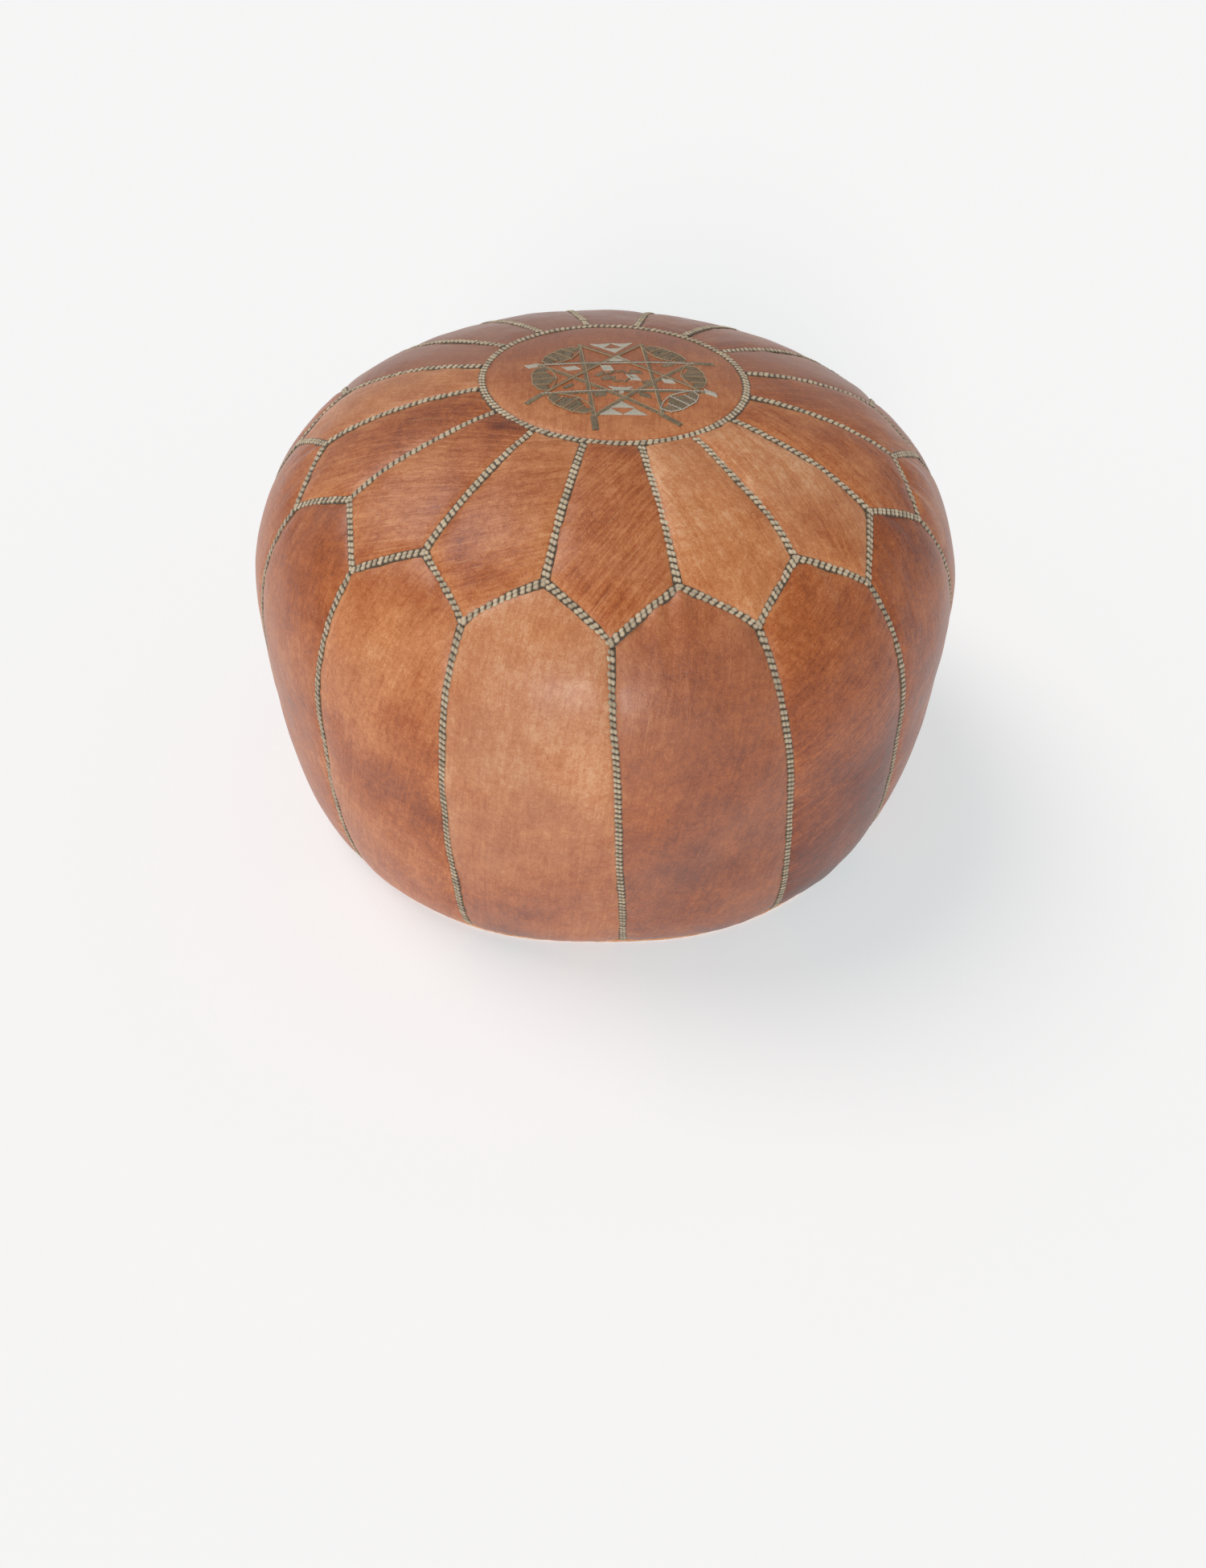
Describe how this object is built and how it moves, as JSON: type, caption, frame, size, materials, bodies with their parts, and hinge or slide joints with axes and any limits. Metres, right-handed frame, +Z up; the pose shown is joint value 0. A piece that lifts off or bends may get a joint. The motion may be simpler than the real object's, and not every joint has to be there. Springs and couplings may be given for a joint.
{
  "type": "pouf",
  "caption": "Round stuffed floor pouf of hand-braided leather panels with an embroidered top medallion and a zip under the base.",
  "frame": {"origin": "centre of the base, on the surface it stands on", "axes": "+Z up through the crown, -Y towards the front, the zip along X and opened by moving its slider towards +X"},
  "size_m": [0.53, 0.53, 0.3357],
  "materials": {
    "leather_tan": "waxed, soft sheen",
    "leather_russet": "waxed, soft sheen",
    "leather_rose": "waxed, soft sheen",
    "leather_base": "plain, dull",
    "braid_thread": "waxed thread",
    "embroidery_cream": "satin stitch",
    "embroidery_olive": "satin stitch",
    "zip_tape": "woven twill",
    "zip_brass": "satin",
    "bag_cotton": "plain weave",
    "filling_wadding": "loose wadding"
  },
  "bodies": {
    "pouf": {"top_medallion": "leather_tan", "medallion_embroidery_cream": "embroidery_cream", "medallion_embroidery_olive": "embroidery_olive", "top_petal_01": "leather_russet", "top_petal_02": "leather_tan", "top_petal_03": "leather_tan", "top_petal_04": "leather_tan", "top_petal_05": "leather_tan", "top_petal_06": "leather_rose", "top_petal_07": "leather_rose", "top_petal_08": "leather_rose", "top_petal_09": "leather_rose", "top_petal_10": "leather_rose", "top_petal_11": "leather_rose", "top_petal_12": "leather_rose", "top_petal_13": "leather_tan", "top_petal_14": "leather_russet", "top_petal_15": "leather_russet", "top_petal_16": "leather_russet", "side_panel_01": "leather_rose", "side_panel_02": "leather_tan", "side_panel_03": "leather_tan", "side_panel_04": "leather_tan", "side_panel_05": "leather_russet", "side_panel_06": "leather_tan", "side_panel_07": "leather_rose", "side_panel_08": "leather_tan", "side_panel_09": "leather_russet", "side_panel_10": "leather_tan", "side_panel_11": "leather_rose", "side_panel_12": "leather_tan", "side_panel_13": "leather_tan", "side_panel_14": "leather_tan", "side_panel_15": "leather_tan", "side_panel_16": "leather_rose", "rim_braid": "braid_thread", "petal_seam_braids": "braid_thread", "zigzag_braid": "braid_thread", "side_seam_braids": "braid_thread", "base_welt": "leather_tan", "base_half_front": "leather_base", "base_half_rear": "leather_base", "zip_tape_front": "zip_tape", "zip_tape_rear": "zip_tape", "zip_teeth_front": "zip_brass", "zip_teeth_rear": "zip_brass", "zip_top_stops": "zip_brass", "zip_bottom_stop": "zip_brass", "inner_bag": "bag_cotton", "filling": "filling_wadding"},
    "zip_slider": {"zip_slider": "zip_brass"},
    "zip_pull": {"zip_pull_tab": "zip_brass"}
  },
  "joints": [
    {"name": "zip_slide", "type": "slide", "parent": "pouf", "child": "zip_slider", "axis": [1, 0, 0], "range_m": [0, 0.298], "deforming": ["zip_teeth_front", "zip_teeth_rear"]},
    {"name": "pull_swing", "type": "hinge", "parent": "zip_slider", "child": "zip_pull", "pos_m": [-0.15, 0, 0.0097], "axis": [0, 1, 0], "range_deg": [-20, 160]}
  ]
}
